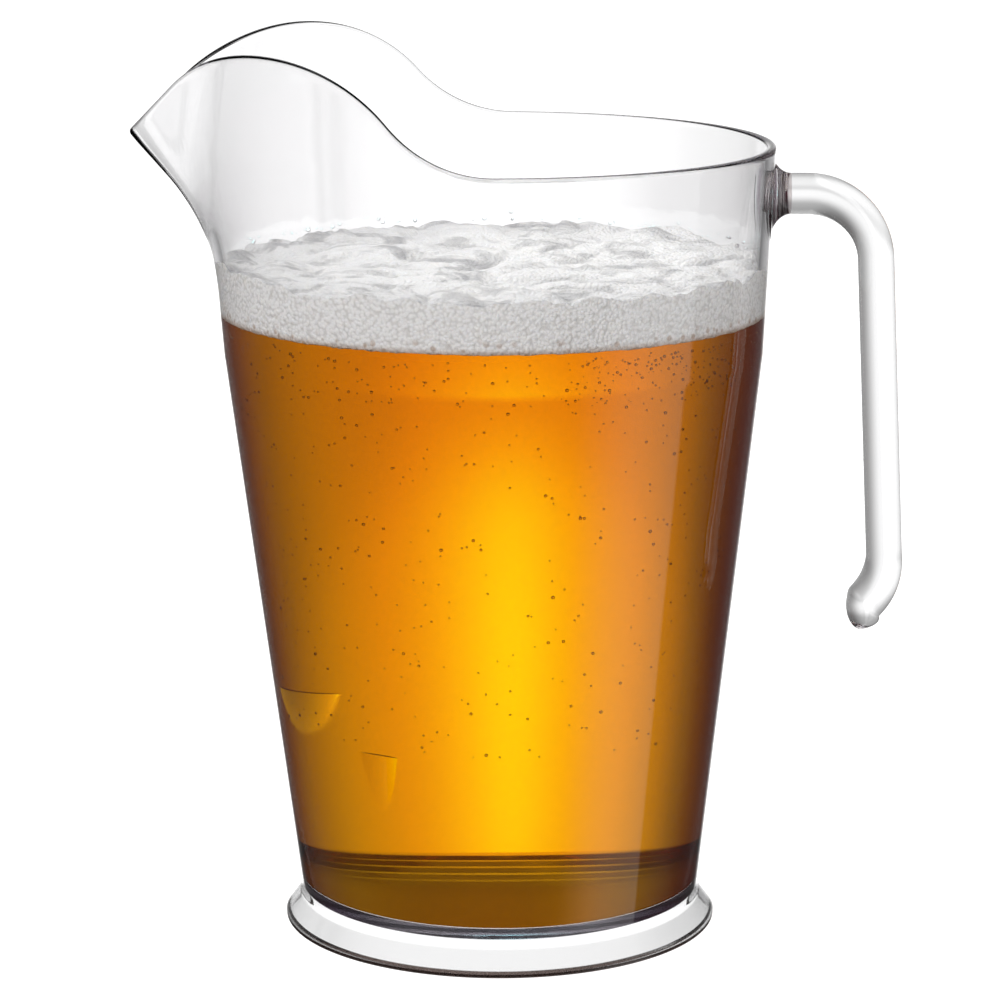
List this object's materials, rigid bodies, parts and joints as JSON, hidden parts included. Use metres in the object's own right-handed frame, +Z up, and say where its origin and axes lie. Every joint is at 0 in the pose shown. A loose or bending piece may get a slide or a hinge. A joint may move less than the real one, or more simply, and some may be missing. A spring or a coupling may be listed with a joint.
{
  "type": "beer pitcher",
  "caption": "Clear tapered stacking beer jug with a swept-up spout, flared foot and open J handle, filled with beer under a head of foam.",
  "frame": {"origin": "on the table under the middle of the part's bounding box", "axes": "+Z up out of the mouth, +X towards the handle, -X towards the pouring spout, XZ is the mirror plane"},
  "size_m": [0.203, 0.1484, 0.2348],
  "materials": {
    "clear_body": "clear moulded polycarbonate, polished",
    "clear_foot": "clear moulded polycarbonate, polished",
    "clear_boss": "clear moulded polycarbonate, polished",
    "clear_handle": "clear moulded polycarbonate, polished",
    "beer": "clear golden lager",
    "foam": "wet, fine-bubbled beer foam"
  },
  "bodies": {
    "root": {"jug_body": "clear_body", "foot_ring": "clear_foot", "handle_boss": "clear_boss", "handle": "clear_handle", "beer": "beer", "foam_head": "foam"}
  },
  "joints": []
}
